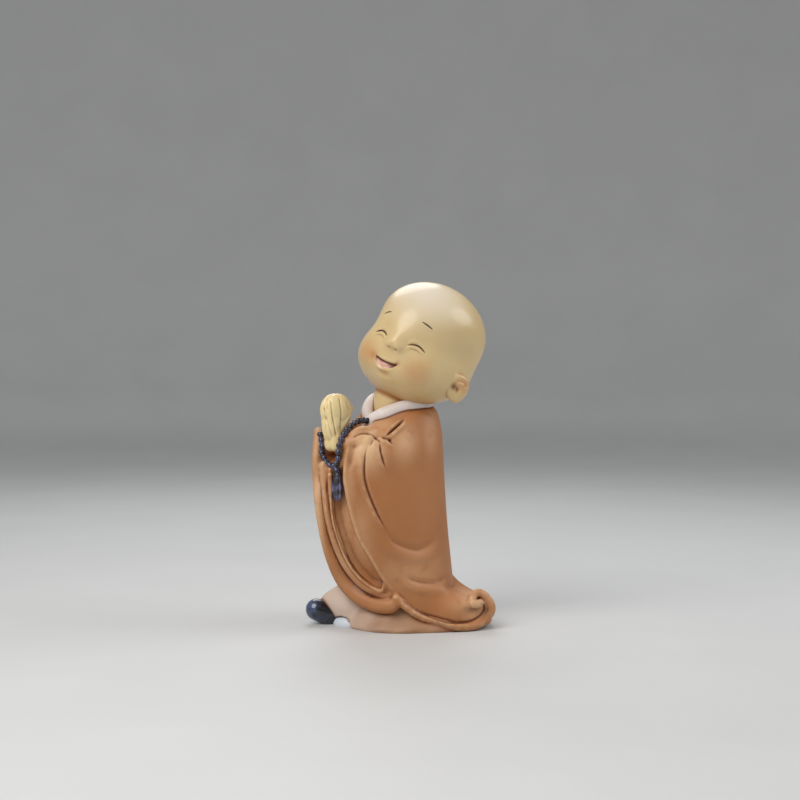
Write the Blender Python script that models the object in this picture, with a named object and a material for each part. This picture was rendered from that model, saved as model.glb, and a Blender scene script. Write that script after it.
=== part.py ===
# Baby monk figurine: one cast and painted resin piece that stands by its own weight on a flat underside.
# The front faces -Y, the figure's left side is +X and up is +Z. The origin is the middle of the underside.
# The forms are drawn in shares of the figure's height, so the carving keeps its proportions.
import math

import bmesh
import bpy
import numpy as np
from mathutils import Matrix, Vector

# Driving sizes, in metres
HEIGHT = 0.100  # from the table to the crown
BEAD_DIAMETER = 0.0019
HEM_ROLL_DIAMETER = 0.0023  # the rolled rim along the robe's hem

# The forms are drawn on a figure this many units tall
DRAWN_HEIGHT = 96.2
UNIT = HEIGHT / DRAWN_HEIGHT

# Fused skin
SKIN_CELL = 0.0042 * HEIGHT  # grain at which the forms are fused
TRIANGLES = 9300
SMOOTH_PASSES = 2
SOLE_CUT = 0.3  # units that the flat underside takes off the skin's rounded lower edge

# Directions
QUARTER = math.radians(55)  # the fold lines are drawn on a plane turned this far towards the left side
HEAD_YAW = math.radians(-25.5)  # the face turns this far off that plane
HEAD_ROLL = math.radians(24)

# Head, in units
HEAD_CENTRE = (6.6, 78.3, 0.0)  # across, height and out on the three-quarter plane
HEAD_RADIUS = 18.3

# Painted finish
ROBE_COLOUR = (0.38, 0.18, 0.07, 1.0)
ROBE_ROUGHNESS = 0.55

# Robe by height, in units: height, half width, depth behind, depth in front
ROBE_LINES = (
    (0, 16.5, 15.2, 11.5),
    (6, 16.6, 15.1, 13.2),
    (9, 16.4, 14.9, 14.6),
    (12, 16.0, 14.5, 16.6),
    (18, 15.4, 13.9, 20.0),
    (26, 14.7, 13.0, 23.2),
    (34, 14.2, 12.3, 25.0),
    (42, 13.9, 11.7, 25.6),
    (48, 13.7, 11.4, 25.2),
    (51, 13.4, 11.2, 24.6),
    (53.5, 13.0, 11.3, 22.4),
    (56, 12.5, 11.0, 17.0),
    (58.5, 11.8, 10.6, 11.6),
    (61, 10.2, 9.7, 9.4),
    (63.5, 6.5, 6.5, 6.5),
)
ROBE_TOP = 63.5
FRONT_BLUNTNESS = 2.25
TRAIN_REACH = 10.6
CURL_OUT = 11.0  # how far forward of the body's axis the top of the hem's curl stands

# Under-robe by height, in the same columns
SKIRT_LINES = (
    (0, 17.2, 15.4, 16.4),
    (1, 17.6, 15.8, 17.0),
    (4, 16.2, 14.5, 14.9),
    (8, 14.2, 13.0, 12.4),
    (12, 13.0, 12.2, 11.6),
    (16, 12.2, 11.6, 11.4),
    (22, 11.5, 11.0, 11.4),
)
SKIRT_TOP = 22

# Lines carved on the near side, as points (across, height) on the three-quarter plane
SLEEVE_EDGE = (
    (-14.6, 53.4), (-15.6, 44.1), (-15.3, 40.0), (-13.6, 32.1), (-11.5, 25.8), (-8.5, 20.6), (-4.8, 14.3),
    (-1.9, 10.4),
)
LONG_CREASE = (
    (-8.2, 52.9), (-9.4, 48.5), (-9.3, 41.7), (-6.3, 33.5), (-3.3, 27.7), (-0.8, 24.7), (4.4, 22.8),
    (8.2, 24.1), (10.7, 26.6),
)
SHORT_CREASE = ((-5.6, 52.9), (-5.2, 49.1), (-3.8, 44.7))
SOFT_GROOVE = ((-11.2, 55.0), (-12.5, 50.2), (-14.2, 44.0))
ARMPIT = ((-3.2, 54.6), (-1.2, 56.4), (0.9, 58.2))
PINCH = ((-3.4, 52.6), (-1.6, 51.6))
LOW_CREASE = ((1.2, 16.2), (3.6, 14.7), (6.8, 13.7), (10.1, 13.5), (13.2, 14.8))
HEM = (
    (-1.0, 9.8), (1.5, 7.5), (3.8, 5.7), (6.0, 4.3), (8.6, 3.1), (13.0, 1.9), (17.6, 1.5), (21.2, 1.9),
    (23.6, 3.5), (24.8, 5.4), (24.6, 7.4), (22.9, 9.6), (20.9, 10.4), (19.3, 8.9), (18.9, 7.6), (20.0, 6.7),
    (21.6, 7.0),
)

# Rolls of cloth that swing across the front, as (across, height, radius)
OUTER_ROLL = (
    (-22.6, 54.5, 1.4), (-23.0, 48.0, 1.3), (-23.0, 42.0, 1.2), (-22.4, 36.0, 1.2), (-21.5, 29.9, 1.3),
    (-20.2, 23.7, 1.5), (-18.2, 18.4, 1.9), (-16.0, 14.1, 2.2), (-13.2, 10.8, 2.4), (-9.8, 8.6, 2.4),
    (-5.8, 7.5, 2.3), (-2.6, 7.6, 2.2), (-0.9, 8.6, 1.7),
)
MIDDLE_ROLL = (
    (-21.4, 46.0, 1.0), (-20.3, 36.2, 1.3), (-19.6, 31.0, 1.3), (-18.2, 25.8, 1.35), (-16.0, 20.2, 1.35),
    (-13.3, 15.9, 1.25), (-10.1, 12.6, 1.1), (-6.0, 10.7, 0.85), (-3.4, 10.4, 0.75), (-2.2, 11.4, 0.6),
)
INNER_ROLL = (
    (-19.2, 43.5, 0.6), (-18.9, 36.2, 0.75), (-18.4, 31.0, 0.8), (-17.0, 25.8, 0.8), (-14.8, 19.8, 0.8),
    (-12.3, 16.1, 0.8), (-9.0, 12.9, 0.75), (-5.8, 11.6, 0.7), (-4.6, 12.2, 0.6), (-4.4, 13.4, 0.5),
)


def smooth_step(x):
    x = np.clip(x, 0.0, 1.0)
    return x * x * (3 - 2 * x)


def bump(distance, half_width):
    """A round-topped rise that is 1 at the middle and 0 at half_width."""
    return np.cos(0.5 * math.pi * np.clip(np.abs(distance) / half_width, 0, 1)) ** 2


def through(points, steps):
    """Points of any size on a smooth curve through the given ones."""
    p = np.array(points, dtype=float)
    p = np.vstack([2 * p[0] - p[1], p, 2 * p[-1] - p[-2]])
    t = np.linspace(0, 1, steps, endpoint=False)[:, None]
    spans = [
        0.5 * (2 * b + (c - a) * t + (2 * a - 5 * b + 4 * c - d) * t**2 + (3 * b - a - 3 * c + d) * t**3)
        for a, b, c, d in zip(p, p[1:], p[2:], p[3:])
    ]
    return np.vstack(spans + [p[-2:-1]])


def at_height(lines, z):
    """Interpolated columns of a table of lines, at heights z."""
    curve = through(lines, 10)
    return [np.interp(z, curve[:, 0], curve[:, column]) for column in range(1, curve.shape[1])]


def quarter_plane(points):
    """Where points lie on the three-quarter drawing plane: across, and how far out of it."""
    across = points[:, 0] * math.cos(QUARTER) + points[:, 1] * math.sin(QUARTER)
    out = points[:, 0] * math.sin(QUARTER) - points[:, 1] * math.cos(QUARTER)
    return across, out


def from_plane(across, z, out):
    """A point of the drawing plane, as a place in the figure."""
    return np.array((
        across * math.cos(QUARTER) + out * math.sin(QUARTER),
        across * math.sin(QUARTER) - out * math.cos(QUARTER),
        z,
    ))


def to_line(across, z, line):
    """Distance to a smooth line, its side (+ to the right) and the way along it to its nearer end."""
    curve = through(line, 8)
    step = np.diff(curve, axis=0)
    size = np.hypot(step[:, 0], step[:, 1])
    whole = size.sum()
    best = np.full(across.shape, 1e9)
    side = np.zeros(across.shape)
    run = np.zeros(across.shape)
    for (x0, z0), (dx, dz), s, start in zip(curve[:-1], step, size, np.cumsum(size) - size):
        t = np.clip(((across - x0) * dx + (z - z0) * dz) / s**2, 0, 1)
        ex, ez = across - x0 - t * dx, z - z0 - t * dz
        d = np.hypot(ex, ez)
        near = d < best
        best = np.where(near, d, best)
        side = np.where(near, np.sign(ez * dx - ex * dz), side)
        run = np.where(near, start + t * s, run)
    return best, side, np.minimum(run, whole - run)


def loft(columns, rows, place):
    """A closed skin of rings from place(angle, row share). Angle 0 is behind, 90 degrees left."""
    bm = bmesh.new()
    bmesh.ops.create_circle(bm, segments=columns, radius=1.0)
    edges = bm.edges[:]
    for row in range(1, rows):
        made = bmesh.ops.extrude_edge_only(bm, edges=edges)["geom"]
        verts = [v for v in made if isinstance(v, bmesh.types.BMVert)]
        edges = [e for e in made if isinstance(e, bmesh.types.BMEdge)]
        bmesh.ops.translate(bm, verts=verts, vec=(0, 0, 1))
    caps = bmesh.ops.holes_fill(bm, edges=[e for e in bm.edges if e.is_boundary])["faces"]
    bmesh.ops.poke(bm, faces=caps)
    raw = np.array([v.co for v in bm.verts])
    angle = np.arctan2(raw[:, 0], raw[:, 1])
    middle = np.hypot(raw[:, 0], raw[:, 1]) < 0.5
    points = place(angle, raw[:, 2] / (rows - 1))
    for end in (0, rows - 1):
        ring = (~middle) & (np.round(raw[:, 2]) == end)
        points[middle & (np.round(raw[:, 2]) == end)] = points[ring].mean(0)
    for vert, co in zip(bm.verts, points):
        vert.co = co
    bmesh.ops.recalc_face_normals(bm, faces=bm.faces[:])
    return bm


def push_out(bm, offset):
    """Moves each vertex along its normal by offset(points, normals)."""
    bm.normal_update()
    points = np.array([v.co for v in bm.verts])
    normals = np.array([v.normal for v in bm.verts])
    moved = points + normals * offset(points, normals)[:, None]
    for vert, co in zip(bm.verts, moved):
        vert.co = co


def tube(line, radii, sides=12, steps=6):
    """A closed round-ended roll along a line in space."""
    curve = through([tuple(p) + (r,) for p, r in zip(line, radii)], steps)
    path, radius = curve[:, :3], curve[:, 3]
    along = np.gradient(path, axis=0)
    along /= np.linalg.norm(along, axis=1)[:, None]
    facing = from_plane(0, 0, 1)
    side = np.cross(along, facing)
    side /= np.linalg.norm(side, axis=1)[:, None]
    front = np.cross(side, along)
    ends = 3  # rings that round off each end
    rows = len(path) + 2 * ends

    def place(angle, row):
        ring = np.round(row * (rows - 1)).astype(int) - ends
        inside = np.clip(ring, 0, len(path) - 1)
        beyond = ring - inside
        turn = np.abs(beyond) / (ends + 0.3) * math.pi / 2
        r = radius[inside] * np.cos(turn)
        shift = np.sign(beyond) * radius[inside] * np.sin(turn)
        return (
            path[inside]
            + side[inside] * (r * np.cos(angle))[:, None]
            + front[inside] * (r * np.sin(angle))[:, None]
            + along[inside] * shift[:, None]
        )

    return loft(sides, rows, place)


def ball(centre, radii, detail=12):
    bm = bmesh.new()
    bmesh.ops.create_uvsphere(bm, u_segments=2 * detail, v_segments=detail, radius=1.0)
    matrix = Matrix.Translation(centre) @ Matrix.Diagonal((*radii, 1))
    bmesh.ops.transform(bm, matrix=matrix, verts=bm.verts[:])
    return bm


def outline(lines, angle, z, bluntness):
    """Plan outline of the robe or the skirt at heights z."""
    width, behind, front = at_height(lines, z)
    sx, cy = np.sin(angle), np.cos(angle)
    ahead = cy < 0
    power = np.where(ahead, 2 / bluntness, 1.0)
    x = width * np.sign(sx) * np.abs(sx) ** power
    y = np.where(ahead, front, behind) * np.sign(cy) * np.abs(cy) ** power
    return x, y


def turned(angle, degrees):
    """The angle measured from a direction round the figure, between half a turn back and half a turn on."""
    return np.angle(np.exp(1j * (angle - math.radians(degrees))))


def flare(angle, z):
    """How far the train of the robe spreads behind, low down. It reaches furthest where the hem curls."""
    off = turned(angle, 54)
    at_curl = bump(off, 0.95)
    behind = (0.5 + 0.5 * at_curl) * (1 - smooth_step((-off - 1.2) / 1.6))
    reach = np.where(off > 0, bump(off, 0.85), behind)
    rounded = 1 - 0.28 * at_curl * np.clip(1 - z / 5.5, 0, 1) ** 2
    return TRAIN_REACH * reach * rounded * smooth_step((18 - 6.6 * at_curl - z) / (15 - 11.4 * at_curl))


def hem_height(angle):
    """Height of the hem round the robe: low behind and on the left, rising to the front."""
    return 1.6 + 8.4 * smooth_step((0.5 - 0.5 * np.cos(angle) - 0.47) / 0.4)


def robe_outline(angle, z):
    x, y = outline(ROBE_LINES, angle, z, FRONT_BLUNTNESS)
    spread = flare(angle, z)
    return np.stack((x + spread * np.sin(angle), y + spread * np.cos(angle), z), axis=1)


def robe_place(angle, row):
    low = hem_height(angle)
    points = robe_outline(angle, low + (ROBE_TOP - low) * row)
    x, y, z = points.T
    between_arms = smooth_step((z - 45) / 7) * smooth_step((5.4 - np.abs(x)) / 2.4)
    y = y + between_arms * np.clip(-y - 11, 0, None)
    neckline = smooth_step((z - 57) / 2) * smooth_step((1.2 * (z - 57) - np.abs(x)) / 2)
    points[:, 1] = y + neckline * np.clip(-y - 5.5, 0, None)
    return points


def on_robe(across, z, lift=0.0):
    """The point of the robe's near surface that the three-quarter plane shows at (across, z)."""
    angles = np.radians(np.linspace(10, 230, 441))
    points = robe_outline(angles, np.full(angles.shape, float(z)))
    seen, out = quarter_plane(points)
    near = slice(int(seen.argmax()), int(seen.argmin()) + 1)
    nearest = int(np.abs(seen[near] - across).argmin())
    base = points[near][nearest]
    outward = np.array((base[0], base[1], 0)) / np.hypot(base[0], base[1])
    return from_plane(across, z, out[near][nearest]) + outward * lift


def sleeve_opening(points, normals):
    """Sinks what lies behind the sleeve's front edge on the near side, deepest beside the nested rolls."""
    across, out = quarter_plane(points)
    z = points[:, 2]
    d, side, end = to_line(across, z, SLEEVE_EDGE)
    sleeve = side * d
    d, side, end = to_line(across, z, [spot[:2] for spot in INNER_ROLL])
    opening = side * d
    below = smooth_step((56 - z) / 3) * smooth_step((z - 10) / 3)
    depth = 0.5 + 2.7 * smooth_step((opening + 0.2) / 0.9) * smooth_step((48 - z) / 5)
    carve = -depth * smooth_step((-sleeve + 0.2) / 0.9) + 0.45 * bump(sleeve - 0.9, 1.1)
    return carve * below * faces_quarter(normals)


def faces_quarter(normals):
    """One where the surface faces the three-quarter direction, falling to nothing where it turns away."""
    return smooth_step((normals[:, 0] * math.sin(QUARTER) - normals[:, 1] * math.cos(QUARTER) + 0.2) / 0.3)


def creases(points, normals):
    """Creases of the near side, each with a soft lip, and the hollow inside the hem's curl."""
    across, out = quarter_plane(points)
    z = points[:, 2]
    carve = -1.1 * bump(np.hypot(across - 20.5, (z - 5.8) * 1.4), 4.6)
    for line, deep, width, lip in (
        (LONG_CREASE, 0.6, 0.9, 0.45),
        (SHORT_CREASE, 0.55, 0.8, 0.3),
        (SOFT_GROOVE, 0.6, 1.9, 0.2),
        (ARMPIT, 1.6, 0.9, 0.35),
        (PINCH, 0.9, 0.8, 0.2),
        (LOW_CREASE, 0.35, 1.2, 0.35),
    ):
        d, side, end = to_line(across, z, line)
        fade = smooth_step(0.15 + end / (3.5 * width))
        carve -= deep * fade * bump(d, width)
        carve += lip * fade * np.where(side < 0, bump(d - 1.2 * width, 2.6 * width), 0)
    return carve * faces_quarter(normals)


def far_folds(points, normals):
    """Plainer folds on the far side and behind."""
    angle = np.arctan2(points[:, 0], points[:, 1])
    z = points[:, 2]
    facing = normals[:, 0] * math.sin(QUARTER) - normals[:, 1] * math.cos(QUARTER)
    hidden = smooth_step((-facing - 0.1) / 0.4)
    hang = smooth_step((58 - z) / 20) * (0.45 + 0.45 * smooth_step((30 - z) / 25))
    ripple = 1.5 * (np.abs(np.sin(2.5 * angle + 0.02 * z + 0.3)) ** 0.7 - 0.6) * hang
    swag = bump(z - (30 + 9 * np.cos(angle + 1.9)), 3.6) * smooth_step((-np.sin(angle) - 0.1) / 0.8)
    return hidden * (ripple - 0.7 * swag)


def robe(columns=220, rows=190):
    bm = loft(columns, rows, robe_place)
    push_out(bm, lambda p, n: sleeve_opening(p, n) + creases(p, n) + far_folds(p, n))
    return bm


def arms(sides=48, steps=10):
    """Upper arm and forearm inside each sleeve, as x, y, z and radius."""
    bends = (
        (7.4, 2.0, 54.2, 4.2), (7.6, -4.0, 52.0, 4.3), (6.9, -12.0, 51.9, 4.1),
        (5.9, -17.2, 52.1, 3.7), (4.9, -20.2, 51.4, 3.0),
    )
    made = []
    for side in (1, -1):
        line = [(side * x, y, z) for x, y, z, radius in bends]
        arm = tube(line, [bend[3] for bend in bends], sides=sides, steps=steps)
        push_out(arm, creases)
        made.append(arm)
    return made


def front_rolls():
    """Three nested rolls of cloth that swing across the front and end under the sleeve's tip."""
    return [
        tube([on_robe(across, z, lift) for across, z, radius in roll], [spot[2] for spot in roll], sides=16)
        for roll, lift in ((OUTER_ROLL, 0.1), (MIDDLE_ROLL, -0.5), (INNER_ROLL, -0.2))
    ]


def hem_rim():
    """The rolled rim of the hem: along the near side into the curl, which a boss backs, and round the far side."""
    rim = HEM_ROLL_DIAMETER / 2 / UNIT
    near = np.array([on_robe(across, z, 0.5) for across, z in HEM])
    seen, out = quarter_plane(near)
    near += np.where(seen > 20, np.clip(CURL_OUT - out, 0, None), 0)[:, None] * from_plane(0, 0, 1)
    angles = np.radians(np.linspace(64, -150, 20))
    far = robe_outline(angles, hem_height(angles) + 0.6)
    boss = ball(from_plane(21.4, 7.6, CURL_OUT - 2.6), (3.0, 3.0, 2.6))
    return [boss] + [tube(line, [rim] * len(line), steps=5) for line in (near, far)]


def skirt():
    """The under-robe, spread behind to carry the train and lifted over the shoe, filled by a core."""
    def place(angle, row):
        low = 6.0 * bump(turned(angle, 232), 0.55) + 3.1 * bump(turned(angle, 194), 0.37)
        z = low + (SKIRT_TOP - low) * row
        x, y = outline(SKIRT_LINES, angle, z, 2.0)
        reach = 5.8 * smooth_step((7 - z) / 4) * bump(turned(angle, 52), 1.2)
        reach = reach + 9.0 * bump(turned(angle, 211), 0.6) * bump(z - 7.2, 8)
        reach = reach + 0.9 * bump(turned(angle, 130), 0.9) * smooth_step((5 - z) / 4)
        return np.stack((x + reach * np.sin(angle), y + reach * np.cos(angle), z), axis=1)

    return [loft(120, 30, place), ball((0.5, 1.0, 2.0), (13.0, 12.0, 8.0), 14)]


def head_frame():
    """Places the head's own axes, with its left on X, the face towards -Y and the crown on Z."""
    right, out = from_plane(1, 0, 0), from_plane(0, 0, 1)
    up = np.array((0.0, 0.0, 1.0))
    level = math.cos(HEAD_ROLL) * right - math.sin(HEAD_ROLL) * up
    crown = math.sin(HEAD_ROLL) * right + math.cos(HEAD_ROLL) * up
    ahead = math.sin(HEAD_YAW) * level + math.cos(HEAD_YAW) * out
    left = math.cos(HEAD_YAW) * level - math.sin(HEAD_YAW) * out
    turn = Matrix((left, -ahead, crown)).transposed().to_4x4()
    return Matrix.Translation(from_plane(*HEAD_CENTRE)) @ turn


def head_shape(p):
    """Radius of the head, as a share, in each direction: full cheeks, button nose and an open smile."""
    left, ahead, up = p[:, 0], -p[:, 1], p[:, 2]

    def mound(to_front, to_side, to_top, size):
        away = (ahead - to_front) ** 2 + (np.abs(left) - to_side) ** 2 + (up - to_top) ** 2
        return np.exp(-away / size**2)

    r = 1.0 - 0.04 * np.clip(ahead, 0, 1) ** 2 + 0.02 * np.clip(-ahead, 0, 1) ** 2
    waist = np.exp(-(((up - 0.1) / np.where(up > 0.1, 0.5, 0.42)) ** 2))
    r -= 0.235 * left**2 * waist * (0.5 + 0.5 * smooth_step((ahead + 0.4) / 0.8))
    r += 0.065 * mound(0.72, 0.48, -0.42, 0.30) + 0.04 * mound(0.35, 0.68, -0.64, 0.35)
    r += 0.045 * mound(0.82, 0.0, -0.58, 0.28)
    r += 0.025 * mound(0.85, 0.0, 0.35, 0.45)
    r -= 0.030 * mound(0.92, 0.34, -0.04, 0.17)
    r += 0.085 * mound(0.99, 0.0, -0.14, 0.095) + 0.030 * mound(0.98, 0.085, -0.17, 0.055)
    smile = np.clip(1 - ((left + 0.03) / 0.18) ** 2, 0, 1)
    top, bottom = -0.395 - 0.03 * smile, -0.395 - 0.15 * smile**0.8
    inside = smooth_step((top - up) / 0.03 + 0.5) * smooth_step((up - bottom) / 0.03 + 0.5)
    r -= 0.07 * inside * (smile > 0) * (ahead > 0)
    r += 0.022 * mound(0.86, 0.0, -0.56, 0.09)
    r -= 0.15 * mound(-0.20, 0.50, -0.85, 0.42) + 0.055 * mound(-0.45, 0.88, -0.18, 0.35)
    return r


def head(across=150, down=100):
    frame = head_frame()
    skull = bmesh.new()
    bmesh.ops.create_uvsphere(skull, u_segments=across, v_segments=down, radius=1.0)
    p = np.array([v.co for v in skull.verts])
    for vert, co in zip(skull.verts, p * (head_shape(p) * HEAD_RADIUS)[:, None]):
        vert.co = co
    bmesh.ops.transform(skull, matrix=frame, verts=skull.verts[:])
    return [skull, ear(frame, 1, 0.12, -38), ear(frame, -1, 0.04, -14)]


def ear(frame, side, ahead, open_out):
    """An oval shell with a hollow, set low on the side of the head."""
    place = frame @ Matrix.Translation(HEAD_RADIUS * Vector((0.85 * side, -ahead, -0.38)))
    place @= Matrix.Rotation(math.radians(open_out * side), 4, "Z")
    place @= Matrix.Rotation(math.radians(14), 4, "X")
    shell = bmesh.new()
    bmesh.ops.create_uvsphere(shell, u_segments=28, v_segments=20, radius=1.0)
    e = np.array([v.co for v in shell.verts])
    hollow = np.exp(-((e[:, 1] / 0.45) ** 2) - ((e[:, 2] - 0.1) / 0.5) ** 2) * (e[:, 0] * side > 0)
    e *= (1 - 0.6 * hollow)[:, None]
    e[:, 1] *= 1 + 0.2 * e[:, 2]
    e *= np.array((0.10, 0.19, 0.22)) * HEAD_RADIUS
    for vert, co in zip(shell.verts, e):
        vert.co = co
    bmesh.ops.transform(shell, matrix=place, verts=shell.verts[:])
    return shell


def neck():
    line = ((0.2, -1.6, 53), (0.2, -1.7, 60), (0.8, -1.0, 66), (2.2, 1.0, 71))
    return [tube(line, (6.4, 6.4, 6.6, 7.5), sides=24)]


def collar():
    """Two overlapping bands, each with the radius of its roll: the left one crosses over in front."""
    near = (
        (-1.4, -10.3, 55.4, 1.1), (1.2, -10.4, 57.8, 1.5), (4.6, -8.5, 59.8, 1.7), (7.2, -5.0, 61.4, 1.7),
        (8.1, -0.6, 62.4, 1.7), (7.2, 4.0, 63.0, 1.5), (3.6, 6.9, 63.4, 1.4), (-0.5, 7.6, 63.6, 1.4),
    )
    far = (
        (0.8, -10.0, 57.0, 1.2), (-1.4, -9.8, 58.7, 1.6), (-3.8, -8.2, 61.0, 1.8), (-5.8, -4.6, 63.6, 1.7),
        (-6.4, 1.8, 64.2, 1.5), (-3.4, 6.4, 64.0, 1.4), (0.5, 7.4, 63.6, 1.4),
    )
    return [tube([p[:3] for p in band], [p[3] for p in band], sides=14) for band in (near, far)]


def hands():
    """Two hands pressed together: palms, fingers side by side, thumbs and wrists."""
    fingers = ((-24.0, -24.7, 62.6), (-22.7, -23.3, 64.2), (-21.4, -21.7, 65.0), (-20.1, -20.0, 64.2))
    made = []
    for side in (1, -1):
        made.append(ball((1.1 * side, -21.6, 59.6), (1.8, 4.2, 5.0), 12))
        for base, tip, top in fingers:
            middle = (base + tip) / 2
            line = ((1.5 * side, base, 57.0), (1.55 * side, middle, 60.8), (0.9 * side, tip, top - 1))
            made.append(tube(line, (1.1, 1.1, 1.0), sides=12, steps=4))
        thumb = ((1.7 * side, -19.9, 55.8), (1.5 * side, -18.0, 58.6), (1.0 * side, -17.6, 61.3))
        made.append(tube(thumb, (1.3, 1.25, 0.95), sides=12, steps=4))
        wrist = ((1.1 * side, -22.1, 56.0), (1.4 * side, -22.2, 51.2))
        made.append(tube(wrist, (1.8, 1.8), sides=16, steps=4))
    return made


def beads():
    """A loop of beads over the sleeves, with a knot and a tassel at its lowest point."""
    loop = (
        (-9.0, 57.8, 9.4), (-10.6, 58.0, 11.2), (-12.2, 57.5, 13.2), (-13.9, 56.1, 15.4),
        (-15.4, 54.2, 17.4), (-16.4, 51.6, 18.6), (-16.7, 49.0, 18.4), (-17.0, 46.8, 17.4),
        (-18.6, 45.6, 15.2), (-20.3, 46.7, 12.8),
        (-21.4, 48.7, 11.2), (-21.6, 51.2, 10.0), (-22.0, 54.0, 8.8),
    )
    curve = through([from_plane(*spot) for spot in loop], 40)
    run = np.concatenate(([0], np.cumsum(np.linalg.norm(np.diff(curve, axis=0), axis=1))))
    radius = BEAD_DIAMETER / 2 / UNIT
    count = int(run[-1] / (1.8 * radius))
    made = [
        ball([np.interp(distance, run, curve[:, k]) for k in range(3)], (radius,) * 3, 5)
        for distance in np.linspace(0, run[-1], count)
    ]
    made.append(tube(curve[::20], [0.5 * radius] * len(curve[::20]), sides=6, steps=2))
    made.append(ball(from_plane(-17.2, 44.4, 16.4), (1.1, 1.1, 1.2), 6))
    tassel = [from_plane(-17.0, z, 16.6) for z in (43.2, 40.5, 37.6)]
    made.append(tube(tassel, (0.9, 1.4, 1.3), sides=14, steps=5))
    return made


def shoe():
    """The toe of the stepping shoe, raised a little, with its sole running back under the skirt."""
    line = ((-8.8, -13.6, 2.2), (-10.2, -17.2, 3.0), (-11.6, -20.6, 4.3))
    return [tube(line, (2.9, 3.3, 3.1), sides=16)]


def white_edge():
    """The white under-garment that shows between the shoe and the skirt."""
    return [ball((-5.4, -13.0, 0.6), (5.4, 4.5, 2.8), 14)]


def fuse(parts):
    """Joins overlapping closed forms into one skin, cuts it flat below and keeps its triangles few."""
    mesh = bpy.data.meshes.new("forms")
    joined = bmesh.new()
    for part in parts:
        piece = bpy.data.meshes.new("form")
        part.to_mesh(piece)
        part.free()
        joined.from_mesh(piece)
        bpy.data.meshes.remove(piece)
    bmesh.ops.triangulate(joined, faces=joined.faces[:])
    bmesh.ops.scale(joined, vec=(UNIT,) * 3, verts=joined.verts[:])
    joined.to_mesh(mesh)
    joined.free()
    body = bpy.data.objects.new("monk_figure", mesh)
    bpy.context.collection.objects.link(body)
    skin = body.modifiers.new("skin", "REMESH")
    skin.mode = "VOXEL"
    skin.voxel_size = SKIN_CELL
    ease = body.modifiers.new("ease", "SMOOTH")
    ease.factor = 0.5
    ease.iterations = SMOOTH_PASSES
    fine = evaluated(body)
    count = sum(len(face.vertices) - 2 for face in fine.polygons)
    body.modifiers.clear()
    body.data = fine
    thin = body.modifiers.new("thin", "DECIMATE")
    thin.ratio = min(1.0, TRIANGLES / count)
    body.data = evaluated(body)
    body.modifiers.clear()
    return body


def evaluated(body):
    bpy.context.view_layer.update()
    graph = bpy.context.evaluated_depsgraph_get()
    return bpy.data.meshes.new_from_object(body.evaluated_get(graph))


def stand(body):
    """Cuts the underside flat on the table and puts the origin under the middle."""
    bm = bmesh.new()
    bm.from_mesh(body.data)
    level = SOLE_CUT * UNIT
    geometry = bm.verts[:] + bm.edges[:] + bm.faces[:]
    bmesh.ops.bisect_plane(bm, geom=geometry, plane_co=(0, 0, level), plane_no=(0, 0, 1), clear_inner=True)
    bmesh.ops.holes_fill(bm, edges=[e for e in bm.edges if e.is_boundary])
    bmesh.ops.triangulate(bm, faces=bm.faces[:])
    low = [min(v.co[k] for v in bm.verts) for k in range(3)]
    high = [max(v.co[k] for v in bm.verts) for k in range(3)]
    middle = Vector(((low[0] + high[0]) / 2, (low[1] + high[1]) / 2, low[2]))
    bmesh.ops.translate(bm, verts=bm.verts[:], vec=-middle)
    bmesh.ops.recalc_face_normals(bm, faces=bm.faces[:])
    bm.to_mesh(body.data)
    bm.free()
    return middle


def paint():
    material = bpy.data.materials.new("painted_resin")
    material.use_nodes = True
    shader = material.node_tree.nodes["Principled BSDF"]
    shader.inputs["Base Color"].default_value = ROBE_COLOUR
    shader.inputs["Roughness"].default_value = ROBE_ROUGHNESS
    shader.inputs["Metallic"].default_value = 0.0
    return material


def main():
    for old in list(bpy.data.objects):
        bpy.data.objects.remove(old)
    parts = [robe()] + skirt() + arms() + front_rolls() + hem_rim()
    parts += head() + neck() + collar() + hands() + beads() + shoe() + white_edge()
    body = fuse(parts)
    stand(body)
    body.data.materials.clear()
    body.data.materials.append(paint())
    body.data.shade_smooth()


main()
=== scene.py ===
import math

import bmesh
import bpy
import numpy as np
from mathutils import Matrix, Vector
from mathutils.bvhtree import BVHTree


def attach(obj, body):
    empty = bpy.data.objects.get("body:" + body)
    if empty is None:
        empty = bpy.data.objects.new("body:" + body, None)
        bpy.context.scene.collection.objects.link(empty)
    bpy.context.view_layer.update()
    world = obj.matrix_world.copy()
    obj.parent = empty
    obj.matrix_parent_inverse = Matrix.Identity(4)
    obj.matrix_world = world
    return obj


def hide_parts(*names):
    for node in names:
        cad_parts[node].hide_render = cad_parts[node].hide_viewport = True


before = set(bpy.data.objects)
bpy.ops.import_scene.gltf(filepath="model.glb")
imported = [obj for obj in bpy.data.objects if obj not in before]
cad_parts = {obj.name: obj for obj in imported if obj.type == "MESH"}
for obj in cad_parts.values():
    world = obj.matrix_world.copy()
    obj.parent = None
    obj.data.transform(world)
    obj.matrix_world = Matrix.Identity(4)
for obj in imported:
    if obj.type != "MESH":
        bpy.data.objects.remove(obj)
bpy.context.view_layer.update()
print("frame loaded")

# The figure is drawn on a plane that faces its left front, in units of about a millimetre.
figure = {
    "height": 0.100,
    "drawnHeight": 96.2,
    "middle": (3.242, -1.172, 0.3),  # middle of the underside
    "quarter": math.radians(55),
    "soleCut": 0.3,
}
unit = figure["height"] / figure["drawnHeight"]


# Curves and directions

def smoothStep(x):
    x = np.clip(x, 0.0, 1.0)
    return x * x * (3 - 2 * x)


def bump(distance, halfWidth):
    return np.cos(0.5 * math.pi * np.clip(np.abs(distance) / halfWidth, 0, 1)) ** 2


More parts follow.
